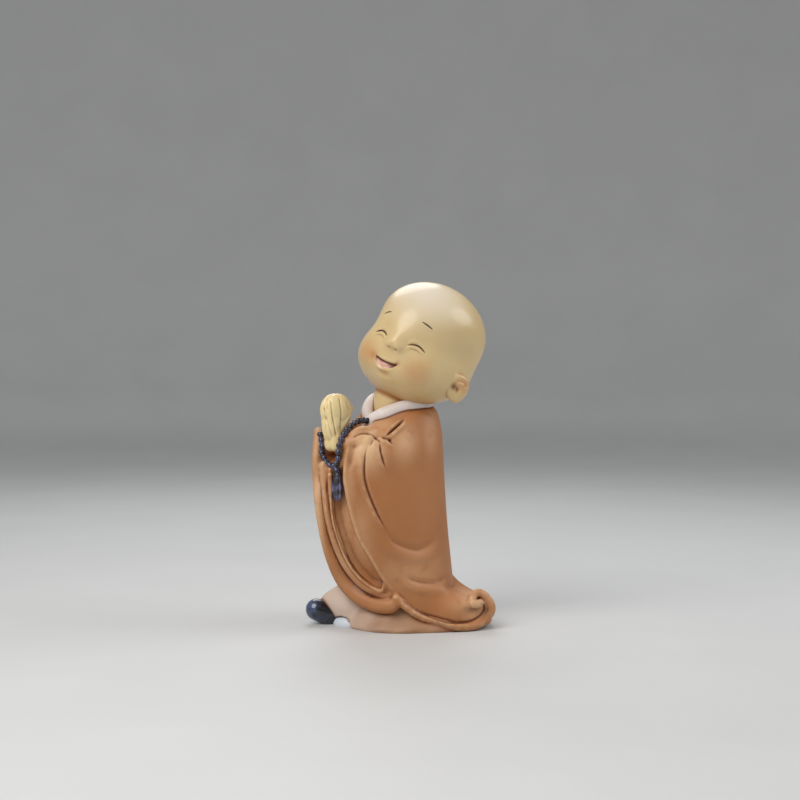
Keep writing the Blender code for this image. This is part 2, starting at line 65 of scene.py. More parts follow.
def through(points, steps):
    # a smooth curve through the given points
    p = np.array(points, dtype=float)
    p = np.vstack([2 * p[0] - p[1], p, 2 * p[-1] - p[-2]])
    t = np.linspace(0, 1, steps, endpoint=False)[:, None]
    spans = [
        0.5 * (2 * b + (c - a) * t + (2 * a - 5 * b + 4 * c - d) * t**2 + (3 * b - a - 3 * c + d) * t**3)
        for a, b, c, d in zip(p, p[1:], p[2:], p[3:])
    ]
    return np.vstack(spans + [p[-2:-1]])


def atHeight(lines, z):
    curve = through(lines, 10)
    return [np.interp(z, curve[:, 0], curve[:, column]) for column in range(1, curve.shape[1])]


def quarterPlane(points):
    c, s = math.cos(figure["quarter"]), math.sin(figure["quarter"])
    return points[:, 0] * c + points[:, 1] * s, points[:, 0] * s - points[:, 1] * c


def fromPlane(across, z, out):
    c, s = math.cos(figure["quarter"]), math.sin(figure["quarter"])
    return np.array((across * c + out * s, across * s - out * c, z))


def toLine(across, z, line):
    # on the drawing plane: distance to a smooth line, side (plus on its right) and way to its nearer end
    curve = through(line, 8)
    step = np.diff(curve, axis=0)
    size = np.hypot(step[:, 0], step[:, 1])
    best = np.full(across.shape, 1e9)
    side = np.zeros(across.shape)
    run = np.zeros(across.shape)
    for (x0, z0), (dx, dz), s, start in zip(curve[:-1], step, size, np.cumsum(size) - size):
        t = np.clip(((across - x0) * dx + (z - z0) * dz) / s**2, 0, 1)
        ex, ez = across - x0 - t * dx, z - z0 - t * dz
        d = np.hypot(ex, ez)
        near = d < best
        best = np.where(near, d, best)
        side = np.where(near, np.sign(ez * dx - ex * dz), side)
        run = np.where(near, start + t * s, run)
    return best, side, np.minimum(run, size.sum() - run)


def turned(angle, degrees):
    return np.angle(np.exp(1j * (angle - math.radians(degrees))))


# Forms

def raised(bm, edges):
    # one more ring above an open edge; gives back the new edge
    made = bmesh.ops.extrude_edge_only(bm, edges=edges)["geom"]
    verts = [v for v in made if isinstance(v, bmesh.types.BMVert)]
    bmesh.ops.translate(bm, verts=verts, vec=(0, 0, 1))
    return [e for e in made if isinstance(e, bmesh.types.BMEdge)]


def loft(columns, rows, place):
    # a closed skin of rings; angle 0 is behind and a quarter turn is the figure's left
    bm = bmesh.new()
    bmesh.ops.create_circle(bm, segments=columns, radius=1.0)
    edges = bm.edges[:]
    for row in range(1, rows):
        edges = raised(bm, edges)
    caps = bmesh.ops.holes_fill(bm, edges=[e for e in bm.edges if e.is_boundary])["faces"]
    bmesh.ops.poke(bm, faces=caps)
    raw = np.array([v.co for v in bm.verts])
    middle = np.hypot(raw[:, 0], raw[:, 1]) < 0.5
    points = place(np.arctan2(raw[:, 0], raw[:, 1]), raw[:, 2] / (rows - 1))
    for end in (0, rows - 1):
        level = np.round(raw[:, 2]) == end
        points[middle & level] = points[level & ~middle].mean(0)
    moveTo(bm, points)
    bmesh.ops.recalc_face_normals(bm, faces=bm.faces[:])
    return bm


def moveTo(bm, points):
    for vert, co in zip(bm.verts, points):
        vert.co = co


def pushOut(bm, offset):
    bm.normal_update()
    points = np.array([v.co for v in bm.verts])
    normals = np.array([v.normal for v in bm.verts])
    moveTo(bm, points + normals * offset(points, normals)[:, None])


def tube(line, radii, sides=12, steps=6, swell=None):
    # a closed round-ended roll; swell(along, angle) varies its radius
    curve = through([tuple(p) + (r,) for p, r in zip(line, radii)], steps)
    path, radius = curve[:, :3], curve[:, 3]
    along = np.gradient(path, axis=0)
    along /= np.linalg.norm(along, axis=1)[:, None]
    side = np.cross(along, fromPlane(0, 0, 1))
    side /= np.linalg.norm(side, axis=1)[:, None]
    front = np.cross(side, along)
    ends = 4
    rows = len(path) + 2 * ends

    def place(angle, row):
        ring = np.round(row * (rows - 1)).astype(int) - ends
        inside = np.clip(ring, 0, len(path) - 1)
        turn = np.abs(ring - inside) / (ends + 0.3) * math.pi / 2
        r = radius[inside] * np.cos(turn)
        if swell:
            r = r * swell(inside / (len(path) - 1), angle)
        return (
            path[inside]
            + side[inside] * (r * np.cos(angle))[:, None]
            + front[inside] * (r * np.sin(angle))[:, None]
            + along[inside] * (np.sign(ring - inside) * radius[inside] * np.sin(turn))[:, None]
        )

    return loft(sides, rows, place)


def ball(centre, radii, detail=12):
    bm = bmesh.new()
    bmesh.ops.create_uvsphere(bm, u_segments=2 * detail, v_segments=detail, radius=1.0)
    matrix = Matrix.Translation(centre) @ Matrix.Diagonal((*radii, 1))
    bmesh.ops.transform(bm, matrix=matrix, verts=bm.verts[:])
    return bm


def mirrored(points):
    return [(-p[0], *p[1:]) for p in points]


# Pieces are cast as one skin, eased, and carved again where fine lines are needed

def evaluated(piece):
    bpy.context.view_layer.update()
    graph = bpy.context.evaluated_depsgraph_get()
    return bpy.data.meshes.new_from_object(piece.evaluated_get(graph))


def cast(name, parts, cell, passes, carve=None, flatBelow=False):
    joined = bmesh.new()
    for part in parts:
        form = bpy.data.meshes.new("form")
        part.to_mesh(form)
        part.free()
        joined.from_mesh(form)
        bpy.data.meshes.remove(form)
    mesh = bpy.data.meshes.new(name)
    joined.to_mesh(mesh)
    joined.free()
    piece = bpy.data.objects.new(name, mesh)
    bpy.context.collection.objects.link(piece)
    skin = piece.modifiers.new("skin", "REMESH")
    skin.mode = "VOXEL"
    skin.voxel_size = cell
    ease = piece.modifiers.new("ease", "SMOOTH")
    ease.factor = 0.5
    ease.iterations = passes
    piece.data = evaluated(piece)
    piece.modifiers.clear()
    bm = bmesh.new()
    bm.from_mesh(piece.data)
    if carve:
        pushOut(bm, carve)
    if flatBelow:
        geometry = bm.verts[:] + bm.edges[:] + bm.faces[:]
        level = (0, 0, figure["soleCut"])
        bmesh.ops.bisect_plane(bm, geom=geometry, plane_co=level, plane_no=(0, 0, 1), clear_inner=True)
        bmesh.ops.holes_fill(bm, edges=[e for e in bm.edges if e.is_boundary])
    bmesh.ops.recalc_face_normals(bm, faces=bm.faces[:])
    bm.to_mesh(piece.data)
    bm.free()
    piece.data.name = name
    piece.data.shade_smooth()
    print(name, len(piece.data.polygons), "faces")
    return piece


def vertexArray(mesh, what="co"):
    flat = np.empty(len(mesh.vertices) * 3, dtype=np.float32)
    if what == "co":
        mesh.vertices.foreach_get("co", flat)
    else:
        mesh.vertex_normals.foreach_get("vector", flat)
    return flat.reshape(-1, 3).astype(float)


def keepValue(piece, name, values, kind="FLOAT"):
    made = piece.data.attributes.new(name, kind, "POINT")
    key = "value" if kind == "FLOAT" else "vector"
    made.data.foreach_set(key, np.asarray(values, dtype=np.float32).ravel())


def relief(piece, passes):
    # how far each point stands above its smoothed surroundings, in units: ridges plus, creases minus
    points = vertexArray(piece.data)
    ends = np.empty(len(piece.data.edges) * 2, dtype=np.int32)
    piece.data.edges.foreach_get("vertices", ends)
    a, b = ends[::2], ends[1::2]
    count = np.bincount(ends, minlength=len(points))[:, None]
    eased = points.copy()
    for _ in range(passes):
        total = np.stack([
            np.bincount(a, eased[b, k], len(points)) + np.bincount(b, eased[a, k], len(points))
            for k in range(3)
        ], axis=1)
        eased = 0.4 * eased + 0.6 * total / count
    return ((points - eased) * vertexArray(piece.data, "normal")).sum(1)


def keepSeamShade(piece, others, reach):
    # painted shade: 1 where another piece meets this one, falling to 0 at the given reach
    trees = []
    for other in others:
        bm = bmesh.new()
        bm.from_mesh(other.data)
        trees.append(BVHTree.FromBMesh(bm))
        bm.free()
    seamShade = np.zeros(len(piece.data.vertices))
    for index, vert in enumerate(piece.data.vertices):
        for tree in trees:
            spot, normal, face, distance = tree.find_nearest(vert.co, reach)
            if distance is not None:
                seamShade[index] = max(seamShade[index], 1 - distance / reach)
    keepValue(piece, "seamShade", seamShade)


# Robe: a body of cloth, arms in its sleeves, three nested rolls in front and a rolled hem with a curl
robeSizes = {
    "lines": (  # height, half width, depth behind, depth in front
        (0, 16.5, 15.2, 11.5), (6, 16.6, 15.1, 13.2), (9, 16.4, 14.9, 14.6), (12, 16.0, 14.5, 16.6),
        (18, 15.4, 13.9, 20.0), (26, 14.7, 13.0, 23.2), (34, 14.2, 12.3, 25.0), (42, 13.9, 11.7, 25.6),
        (48, 13.7, 11.4, 25.2), (51, 13.4, 11.2, 24.6), (53.5, 13.0, 11.3, 22.4), (56, 12.5, 11.0, 17.0),
        (58.5, 11.8, 10.6, 11.6), (61, 10.2, 9.7, 9.4), (63.5, 6.5, 6.5, 6.5),
    ),
    "top": 63.5,
    "bluntness": 2.25,
    "trainReach": 10.6,
    "sleeveEdge": (
        (-14.6, 53.4), (-15.6, 44.1), (-15.3, 40.0), (-13.6, 32.1), (-11.5, 25.8), (-8.5, 20.6),
        (-4.8, 14.3), (-1.9, 10.4),
    ),
    "arm": (
        (7.4, 2.0, 54.2, 4.2), (7.6, -4.0, 52.0, 4.3), (6.9, -12.0, 51.9, 4.1),
        (5.9, -17.2, 52.1, 3.7), (4.9, -20.2, 51.4, 3.0),
    ),
    "cuff": (
        (-14.5, 52.6, 16.5), (-13.4, 54.2, 16.3), (-11.5, 55.6, 16.0), (-9.7, 56.0, 15.8),
        (-7.7, 55.5, 15.6), (-6.0, 54.3, 15.6), (-4.9, 53.2, 15.2),
    ),
    "cuffRadii": (0.5, 0.7, 0.75, 0.75, 0.7, 0.6, 0.4),
    "outerRoll": (  # across, height, radius
        (-22.6, 54.5, 1.4), (-23.0, 48.0, 1.3), (-23.0, 42.0, 1.2), (-22.4, 36.0, 1.2),
        (-21.5, 29.9, 1.3), (-20.2, 23.7, 1.5), (-18.2, 18.4, 1.9), (-16.0, 14.1, 2.2),
        (-13.2, 10.8, 2.4), (-9.8, 8.6, 2.4), (-5.8, 7.5, 2.3), (-2.6, 7.6, 2.2), (-0.9, 8.6, 1.7),
    ),
    "middleRoll": (
        (-21.4, 46.0, 1.0), (-20.3, 36.2, 1.3), (-19.6, 31.0, 1.3), (-18.2, 25.8, 1.35),
        (-16.0, 20.2, 1.35), (-13.3, 15.9, 1.25), (-10.1, 12.6, 1.1), (-6.0, 10.7, 0.85),
        (-3.4, 10.4, 0.75), (-2.2, 11.4, 0.6),
    ),
    "innerRoll": (
        (-19.2, 43.5, 0.6), (-18.9, 36.2, 0.75), (-18.4, 31.0, 0.8), (-17.0, 25.8, 0.8),
        (-14.8, 19.8, 0.8), (-12.3, 16.1, 0.8), (-9.0, 12.9, 0.75), (-5.8, 11.6, 0.7),
        (-4.6, 12.2, 0.6), (-4.4, 13.4, 0.5),
    ),
    "hem": (
        (-1.0, 9.8), (1.5, 7.5), (3.8, 5.7), (6.0, 4.3), (8.6, 3.1), (13.0, 1.9), (17.6, 1.5),
        (21.2, 1.9), (23.6, 3.5), (24.8, 5.4), (24.6, 7.4), (22.9, 9.6), (20.9, 10.4), (19.5, 9.0),
        (19.3, 8.0), (20.4, 7.6), (21.6, 7.9),
    ),
    "hemRadius": 1.11,
    "curlOut": 11.0,  # how far forward of the body's axis the top of the hem's curl stands
    "creases": (  # line, depth, half width, height of the lip on its left, taper at each end
        # the sleeve's long crease and the arch it runs into
        (((-8.2, 52.9), (-9.4, 48.5), (-9.3, 41.7), (-6.3, 33.5), (-2.9, 27.2)), 0.5, 0.65, 0.35, 9.0),
        (((-4.6, 30.0), (-3.0, 27.3), (-0.8, 24.9), (4.4, 22.9), (8.2, 24.1), (10.7, 26.6)),
         0.3, 1.5, 0.4, 7.0),
        # short creases under the cuff
        (((-5.6, 52.9), (-5.0, 49.1), (-3.7, 44.7)), 0.5, 0.65, 0.3, 3.0),
        (((-11.2, 54.2), (-12.5, 50.2), (-14.2, 44.0)), 0.5, 1.8, 0.0, 4.0),
        (((-13.2, 53.2), (-11.4, 54.5), (-9.6, 54.8), (-7.7, 54.3), (-6.0, 53.0), (-4.8, 51.9)),
         0.5, 0.55, 0.0, 1.5),
        # the armpit's slit and the pinched cloth beside it
        (((-4.1, 53.6), (-2.0, 55.6), (1.6, 58.7)), 1.5, 0.6, 0.5, 3.6),
        (((-5.4, 53.9), (-4.2, 53.4), (-3.0, 53.0), (-1.6, 51.4)), 0.5, 0.6, 0.2, 1.2),
        (((-4.6, 54.2), (-7.0, 53.0), (-8.4, 50.6)), 0.3, 0.8, 0.3, 2.0),
        # a low fold over the train and one on the shoulder
        (((1.2, 16.2), (3.6, 14.7), (6.8, 13.7), (10.1, 13.5), (13.2, 14.8)), 0.3, 1.3, 0.35, 3.5),
        (((2.0, 60.2), (6.4, 60.6), (9.2, 59.0)), 0.2, 0.8, 0.1, 2.0),
        # between the nested rolls
        (((-22.1, 45.0), (-21.9, 41.0), (-21.3, 36.0), (-20.5, 30.4), (-19.2, 24.7), (-17.1, 19.3),
          (-14.7, 15.2), (-11.6, 12.1), (-8.0, 10.0), (-4.6, 9.4)), 0.55, 0.55, 0.0, 4.0),
        (((-20.2, 43.0), (-19.6, 36.2), (-19.0, 31.0), (-17.6, 25.8), (-15.4, 20.0), (-12.8, 16.0),
          (-9.5, 12.8), (-5.9, 11.2)), 0.5, 0.5, 0.0, 4.0),
        (((-18.3, 40.0), (-18.0, 34.0), (-17.3, 29.0), (-15.8, 24.0), (-13.4, 19.2), (-10.8, 15.6),
          (-8.0, 13.6)), 0.35, 0.5, 0.0, 4.0),
        # along the inside of the hem's rim
        (((0.6, 9.4), (3.6, 7.1), (6.9, 5.2), (12.1, 3.4), (16.6, 2.9), (20.0, 3.3), (22.2, 4.5),
          (23.2, 6.0), (23.0, 7.2), (22.0, 8.0)), 0.5, 0.5, 0.0, 1.5),
    ),
    "pinch": (-2.6, 52.8, 0.7),  # across, height and size of the small hollow under the arm
    # pale dry-brushed paint and painted highlight, in soft patches on the robe's near side
    "dryBrushAndHighlight": (  # across, height, half width, half height, strength
        (-9.0, 51.0, 4.6, 5.5, 0.90), (1.2, 52.0, 3.2, 4.5, 0.55), (-5.0, 57.0, 4.0, 1.8, 0.35),
        (-14.5, 40.0, 2.2, 12.0, 0.35), (-11.0, 26.0, 3.4, 10.0, 0.28), (-22.6, 36.0, 2.0, 22.0, 0.60),
        (3.0, 17.0, 9.0, 5.0, 0.25), (20.0, 7.5, 5.0, 3.6, 0.45), (8.6, 54.0, 2.0, 6.0, 0.25),
        (-15.0, 27.0, 3.0, 12.0, 0.40),
    ),
    "cell": 0.355,
}


def planOutline(lines, angle, z, bluntness):
    width, behind, front = atHeight(lines, z)
    sx, cy = np.sin(angle), np.cos(angle)
    ahead = cy < 0
    power = np.where(ahead, 2 / bluntness, 1.0)
    x = width * np.sign(sx) * np.abs(sx) ** power
    return x, np.where(ahead, front, behind) * np.sign(cy) * np.abs(cy) ** power


def flare(angle, z):
    off = turned(angle, 54)
    atCurl = bump(off, 0.95)
    behind = (0.5 + 0.5 * atCurl) * (1 - smoothStep((-off - 1.2) / 1.6))
    reach = np.where(off > 0, bump(off, 0.85), behind)
    rounded = 1 - 0.28 * atCurl * np.clip(1 - z / 5.5, 0, 1) ** 2
    lift = smoothStep((18 - 6.6 * atCurl - z) / (15 - 11.4 * atCurl))
    return robeSizes["trainReach"] * reach * rounded * lift


def hemHeight(angle):
    return 1.6 + 8.4 * smoothStep((0.5 - 0.5 * np.cos(angle) - 0.47) / 0.4)


def robeOutline(angle, z):
    x, y = planOutline(robeSizes["lines"], angle, z, robeSizes["bluntness"])
    spread = flare(angle, z)
    return np.stack((x + spread * np.sin(angle), y + spread * np.cos(angle), z), axis=1)


def robePlace(angle, row):
    low = hemHeight(angle)
    points = robeOutline(angle, low + (robeSizes["top"] - low) * row)
    x, y, z = points.T
    betweenArms = smoothStep((z - 45) / 7) * smoothStep((5.4 - np.abs(x)) / 2.4)
    y = y + betweenArms * np.clip(-y - 11, 0, None)
    neckline = smoothStep((z - 57) / 2) * smoothStep((1.2 * (z - 57) - np.abs(x)) / 2)
    points[:, 1] = y + neckline * np.clip(-y - 5.5, 0, None)
    return points


def onRobe(across, z, lift=0.0):
    angles = np.radians(np.linspace(10, 230, 441))
    points = robeOutline(angles, np.full(angles.shape, float(z)))
    seen, out = quarterPlane(points)
    near = slice(int(seen.argmax()), int(seen.argmin()) + 1)
    nearest = int(np.abs(seen[near] - across).argmin())
    base = points[near][nearest]
    outward = np.array((base[0], base[1], 0)) / np.hypot(base[0], base[1])
    return fromPlane(across, z, out[near][nearest]) + outward * lift


def towardsQuarter(normals):
    return normals[:, 0] * math.sin(figure["quarter"]) - normals[:, 1] * math.cos(figure["quarter"])


def sleeveOpening(points, normals):
    across, out = quarterPlane(points)
    z = points[:, 2]
    d, side, end = toLine(across, z, robeSizes["sleeveEdge"])
    sleeve = side * d
    d, side, end = toLine(across, z, [spot[:2] for spot in robeSizes["innerRoll"]])
    below = smoothStep((56 - z) / 3) * smoothStep((z - 10) / 3)
    depth = 0.5 + 2.7 * smoothStep((side * d + 0.2) / 0.9) * smoothStep((48 - z) / 5)
    carve = -depth * smoothStep((-sleeve + 0.2) / 0.9) + 0.45 * bump(sleeve - 0.9, 1.1)
    hollow = -1.1 * bump(np.hypot(across - 20.5, (z - 5.8) * 1.4), 4.6)
    return (carve * below + hollow) * smoothStep((towardsQuarter(normals) + 0.2) / 0.3)


def farFolds(points, normals):
    angle = np.arctan2(points[:, 0], points[:, 1])
    z = points[:, 2]
    hidden = smoothStep((-towardsQuarter(normals) - 0.1) / 0.4)
    hang = smoothStep((58 - z) / 20) * (0.45 + 0.45 * smoothStep((30 - z) / 25))
    ripple = 1.5 * (np.abs(np.sin(2.5 * angle + 0.02 * z + 0.3)) ** 0.7 - 0.6) * hang
    swag = bump(z - (30 + 9 * np.cos(angle + 1.9)), 3.6) * smoothStep((-np.sin(angle) - 0.1) / 0.8)
    return hidden * (ripple - 0.7 * swag)


def robeCreases(points, normals):
    across, out = quarterPlane(points)
    z = points[:, 2]
    pinchAcross, pinchUp, pinchSize = robeSizes["pinch"]
    carve = -0.9 * bump(np.hypot(across - pinchAcross, z - pinchUp), pinchSize)
    for line, deep, width, lip, taper in robeSizes["creases"]:
        d, side, end = toLine(across, z, line)
        fade = smoothStep(0.1 + end / taper)
        carve -= deep * fade * bump(d, width * (0.6 + 0.4 * fade))
        carve += lip * fade * np.where(side < 0, bump(d - 1.7 * width, 1.7 * width), 0)
    return carve * smoothStep((towardsQuarter(normals) - 0.05) / 0.3) * (out > 2)


def dryBrushAndHighlightShare(points):
    # share of pale dry-brushed paint and painted highlight in soft patches of the near side
    across, out = quarterPlane(points)
    share = np.zeros(len(points))
    for spotAcross, spotUp, wide, tall, strength in robeSizes["dryBrushAndHighlight"]:
        away = ((across - spotAcross) / wide) ** 2 + ((points[:, 2] - spotUp) / tall) ** 2
        share = np.maximum(share, strength * np.exp(-away))
    return share * smoothStep(out / 4)


def makeRobe():
    body = loft(240, 200, robePlace)
    pushOut(body, lambda p, n: sleeveOpening(p, n) + farFolds(p, n))
    parts = [body]
    arm = [bend[:3] for bend in robeSizes["arm"]]
    radii = [bend[3] for bend in robeSizes["arm"]]
    cuff = [tuple(fromPlane(*spot)) for spot in robeSizes["cuff"]]
    for armLine, cuffLine in ((arm, cuff), (mirrored(arm), mirrored(cuff))):
        parts.append(tube(armLine, radii, sides=40, steps=8))
        parts.append(tube(cuffLine, robeSizes["cuffRadii"], sides=16, steps=8))
    for roll, lift in (("outerRoll", 0.1), ("middleRoll", -0.5), ("innerRoll", -0.2)):
        line = [onRobe(across, z, lift) for across, z, radius in robeSizes[roll]]
        parts.append(tube(line, [spot[2] for spot in robeSizes[roll]], sides=20, steps=8))
    # the hem's near run ends in the curl, which stands forward and has a boss behind it
    near = np.array([onRobe(across, z, 0.5) for across, z in robeSizes["hem"]])
    seen, out = quarterPlane(near)
    forward = np.where(seen > 20, np.clip(robeSizes["curlOut"] - out, 0, None), 0)
    near += forward[:, None] * fromPlane(0, 0, 1)
    parts.append(ball(fromPlane(21.4, 7.6, robeSizes["curlOut"] - 2.6), (3.0, 3.0, 2.6), 24))
    angles = np.radians(np.linspace(64, -150, 20))
    far = robeOutline(angles, hemHeight(angles) + 0.6)
    for line in (near, far):
        parts.append(tube(line, [robeSizes["hemRadius"]] * len(line), sides=20, steps=8))
    robe = cast("robe", parts, robeSizes["cell"], 2, robeCreases)
    keepValue(robe, "dryBrushAndHighlight", dryBrushAndHighlightShare(vertexArray(robe.data)))
    return robe


# Under-robe: a plain skirt that carries the train and lifts over the shoe
skirtSizes = {
    "lines": (
        (0, 17.2, 15.4, 16.4), (1, 17.6, 15.8, 17.0), (4, 16.2, 14.5, 14.9), (8, 14.2, 13.0, 12.4),
        (12, 13.0, 12.2, 11.6), (16, 12.2, 11.6, 11.4), (22, 11.5, 11.0, 11.4),
    ),
    "top": 22,
    "cell": 0.34,
}


def skirtPlace(angle, row):
    low = 6.0 * bump(turned(angle, 232), 0.55) + 3.1 * bump(turned(angle, 194), 0.37)
    z = low + (skirtSizes["top"] - low) * row
    x, y = planOutline(skirtSizes["lines"], angle, z, 2.0)
    reach = 5.8 * smoothStep((7 - z) / 4) * bump(turned(angle, 52), 1.2)
    reach = reach + 9.0 * bump(turned(angle, 211), 0.6) * bump(z - 7.2, 8)
    reach = reach + 0.9 * bump(turned(angle, 130), 0.9) * smoothStep((5 - z) / 4)
    return np.stack((x + reach * np.sin(angle), y + reach * np.cos(angle), z), axis=1)


def skirtFolds(points, normals):
    angle = np.arctan2(points[:, 0], points[:, 1])
    z = points[:, 2]
    wave = 0.22 * np.sin(13 * angle + 0.35 * z) * smoothStep((9 - z) / 5) * (np.abs(normals[:, 2]) < 0.7)
    return wave * smoothStep(z / 1.2)


def makeSkirt():
    core = ball((0.5, 1.0, 2.0), (13.0, 12.0, 8.0), 24)
    return cast("underRobe", [loft(200, 60, skirtPlace), core], skirtSizes["cell"], 2, skirtFolds, True)


# Head: a round skull with a narrow temple, full cheeks, a button nose and an open smile
headSizes = {
    "centre": (6.6, 78.3, 0.0),  # across, height and out on the drawing plane
    "radius": 18.3,
    "yaw": math.radians(-25.5),
    "roll": math.radians(24),
    "mounds": (  # on both sides: height, then how far to the front, side and top, then reach
        (0.065, 0.72, 0.48, -0.42, 0.30),  # cheeks
        (0.040, 0.35, 0.68, -0.64, 0.35),  # jowls
        (0.045, 0.82, 0.0, -0.58, 0.28),  # chin
        (0.025, 0.85, 0.0, 0.35, 0.45),  # forehead
        (-0.030, 0.92, 0.34, -0.04, 0.17),  # eye sockets
        (0.078, 0.99, 0.0, -0.13, 0.12),  # tip of the nose
        (0.034, 0.98, 0.10, -0.17, 0.065),  # wings of the nose
        (0.022, 0.99, 0.0, 0.0, 0.12),  # bridge of the nose
        (-0.150, -0.20, 0.50, -0.85, 0.42),  # under the back of the skull
        (-0.055, -0.45, 0.88, -0.18, 0.35),  # behind the ears
    ),
    "ear": (0.10, 0.19, 0.22),
    "mouth": {"middle": -0.058, "halfWidth": 0.198, "corner": -0.408, "drop": 0.126},
    "eye": {"middle": 0.323, "halfWidth": 0.120, "end": -0.084, "rise": 0.047, "slope": -0.04},
    "lowerLid": {"middle": 0.323, "halfWidth": 0.085, "end": -0.128, "rise": 0.024, "slope": -0.04},
    "brows": (
        {"side": 1, "middle": 0.316, "halfWidth": 0.080, "end": 0.296, "rise": 0.006, "slope": -0.24},
        {"side": -1, "middle": 0.385, "halfWidth": 0.066, "end": 0.243, "rise": 0.010, "slope": -0.50},
    ),
    "cheeks": (  # on both sides: place, reach, strength, colour
        ((0.45, 0.82, -0.42), 0.36, 0.50, "#C28048"),
        ((0.36, 0.88, -0.43), 0.14, 0.16, "#CF7250"),
    ),
    "tints": (  # on one side: beside the mouth, its other corner, chin, nose, ear, its hollow, forehead
        ((-0.30, 0.86, -0.42), 0.10, 0.45, "#B8682F"),
        ((0.15, 0.90, -0.40), 0.07, 0.35, "#B8682F"),
        # painted shade under the lip
        ((-0.05, 0.84, -0.60), 0.13, 0.45, "#B87A40"),
        # painted shade under the nose
        ((0.0, 1.03, -0.24), 0.10, 0.35, "#B87A40"),
        ((0.92, 0.16, -0.30), 0.24, 0.60, "#B87030"),
        # dark wash and painted shade in the ear's hollow
        ((0.86, 0.30, -0.37), 0.085, 0.95, "#6E3A1A"),
        # pale cream paint with painted highlight on the forehead
        ((0.05, 0.62, 0.72), 0.85, 0.75, "#DDD4C4"),
    ),
    "cell": 0.27,
}


def headFrame():
    right, out = Vector(fromPlane(1, 0, 0)), Vector(fromPlane(0, 0, 1))
    up = Vector((0, 0, 1))
    roll, yaw = headSizes["roll"], headSizes["yaw"]
    level = math.cos(roll) * right - math.sin(roll) * up
    crown = math.sin(roll) * right + math.cos(roll) * up
    ahead = math.sin(yaw) * level + math.cos(yaw) * out
    left = math.cos(yaw) * level - math.sin(yaw) * out
    turn = Matrix((left, -ahead, crown)).transposed().to_4x4()
    return Matrix.Translation(fromPlane(*headSizes["centre"])) @ turn


def headShape(p):
    left, ahead, up = p[:, 0], -p[:, 1], p[:, 2]
    r = 1.0 - 0.04 * np.clip(ahead, 0, 1) ** 2 + 0.02 * np.clip(-ahead, 0, 1) ** 2
    waist = np.exp(-(((up - 0.1) / np.where(up > 0.1, 0.5, 0.42)) ** 2))
    r -= 0.235 * left**2 * waist * (0.5 + 0.5 * smoothStep((ahead + 0.4) / 0.8))
    for height, toFront, toSide, toTop, reach in headSizes["mounds"]:
        away = (ahead - toFront) ** 2 + (np.abs(left) - toSide) ** 2 + (up - toTop) ** 2
        r += height * np.exp(-away / reach**2)
    return r


def faceCarving(p):
    # fine lines of the face as a change of radius, in shares of the head's radius
    left, ahead, up = p[:, 0], -p[:, 1], p[:, 2]
    mouth = headSizes["mouth"]
    middle, corner = mouth["middle"], mouth["corner"]
    share = (left - middle) / mouth["halfWidth"]
    smile = np.clip(1 - share**2, 0, 1)
    top = corner - 0.028 * smile
    bottom = corner - mouth["drop"] * smile**0.6 * (1 - 0.22 * share)
    inside = smoothStep((top - up) / 0.03 + 0.5) * smoothStep((up - bottom) / 0.03 + 0.5) * (smile > 0)
    change = -0.055 * inside
    tongue = np.exp(-(((left - middle + 0.04) / 0.12) ** 2) - (((up - corner + 0.095) / 0.04) ** 2))
    change += 0.03 * tongue * inside
    change += 0.012 * bump(up - bottom + 0.02, 0.04) * smile
    change += 0.008 * bump(up - top - 0.025, 0.04) * smile
    for side in (1, -1):
        dimple = (left - middle) * side - mouth["halfWidth"] - 0.02
        change -= 0.014 * np.exp(-((dimple / 0.035) ** 2) - (((up - corner - 0.01) / 0.05) ** 2))
    eye = headSizes["eye"]
    across = (np.abs(left) - eye["middle"]) / eye["halfWidth"]
    lid = eye["end"] + eye["rise"] * (1 - across**2)
    near = smoothStep((1.15 - np.abs(across)) / 0.3)
    change -= 0.012 * bump(up - lid, 0.022) * near
    change += 0.010 * bump(up - lid - 0.045, 0.05) * near
    change += 0.012 * bump(up - lid + 0.045, 0.05) * near
    nostril = np.exp(-(((np.abs(left) - 0.062) / 0.024) ** 2) - (((up + 0.225) / 0.018) ** 2))
    change -= 0.02 * nostril
    chin = np.exp(-(((left - middle) / 0.13) ** 2) - (((up - corner + 0.205) / 0.04) ** 2))
    change -= 0.016 * chin
    return change * (ahead > 0.3)


def ear(side, ahead, openOut):
    place = headFrame() @ Matrix.Translation(headSizes["radius"] * Vector((0.88 * side, -ahead, -0.38)))
    place @= Matrix.Rotation(math.radians(openOut * side), 4, "Z")
    place @= Matrix.Rotation(math.radians(14), 4, "X")
    shell = bmesh.new()
    bmesh.ops.create_uvsphere(shell, u_segments=72, v_segments=48, radius=1.0)
    e = np.array([v.co for v in shell.verts])
    face = smoothStep(e[:, 0] * side / 0.4)
    rim = np.hypot(e[:, 1], e[:, 2])
    bowl = np.exp(-(((e[:, 1] + 0.2) / 0.34) ** 2) - (((e[:, 2] + 0.05) / 0.40) ** 2))
    groove = np.exp(-(((rim - 0.68) / 0.10) ** 2)) * smoothStep((e[:, 2] - 0.05) / 0.4)
    e *= (1 - 0.85 * bowl * face - 0.35 * groove * face)[:, None]
    e[:, 1] *= 1 + 0.2 * e[:, 2]
    moveTo(shell, e * np.array(headSizes["ear"]) * headSizes["radius"])
    bmesh.ops.transform(shell, matrix=place, verts=shell.verts[:])
    return shell


def inHead(points):
    back = np.array(headFrame().inverted())
    return (points @ back[:3, :3].T + back[:3, 3]) / headSizes["radius"]


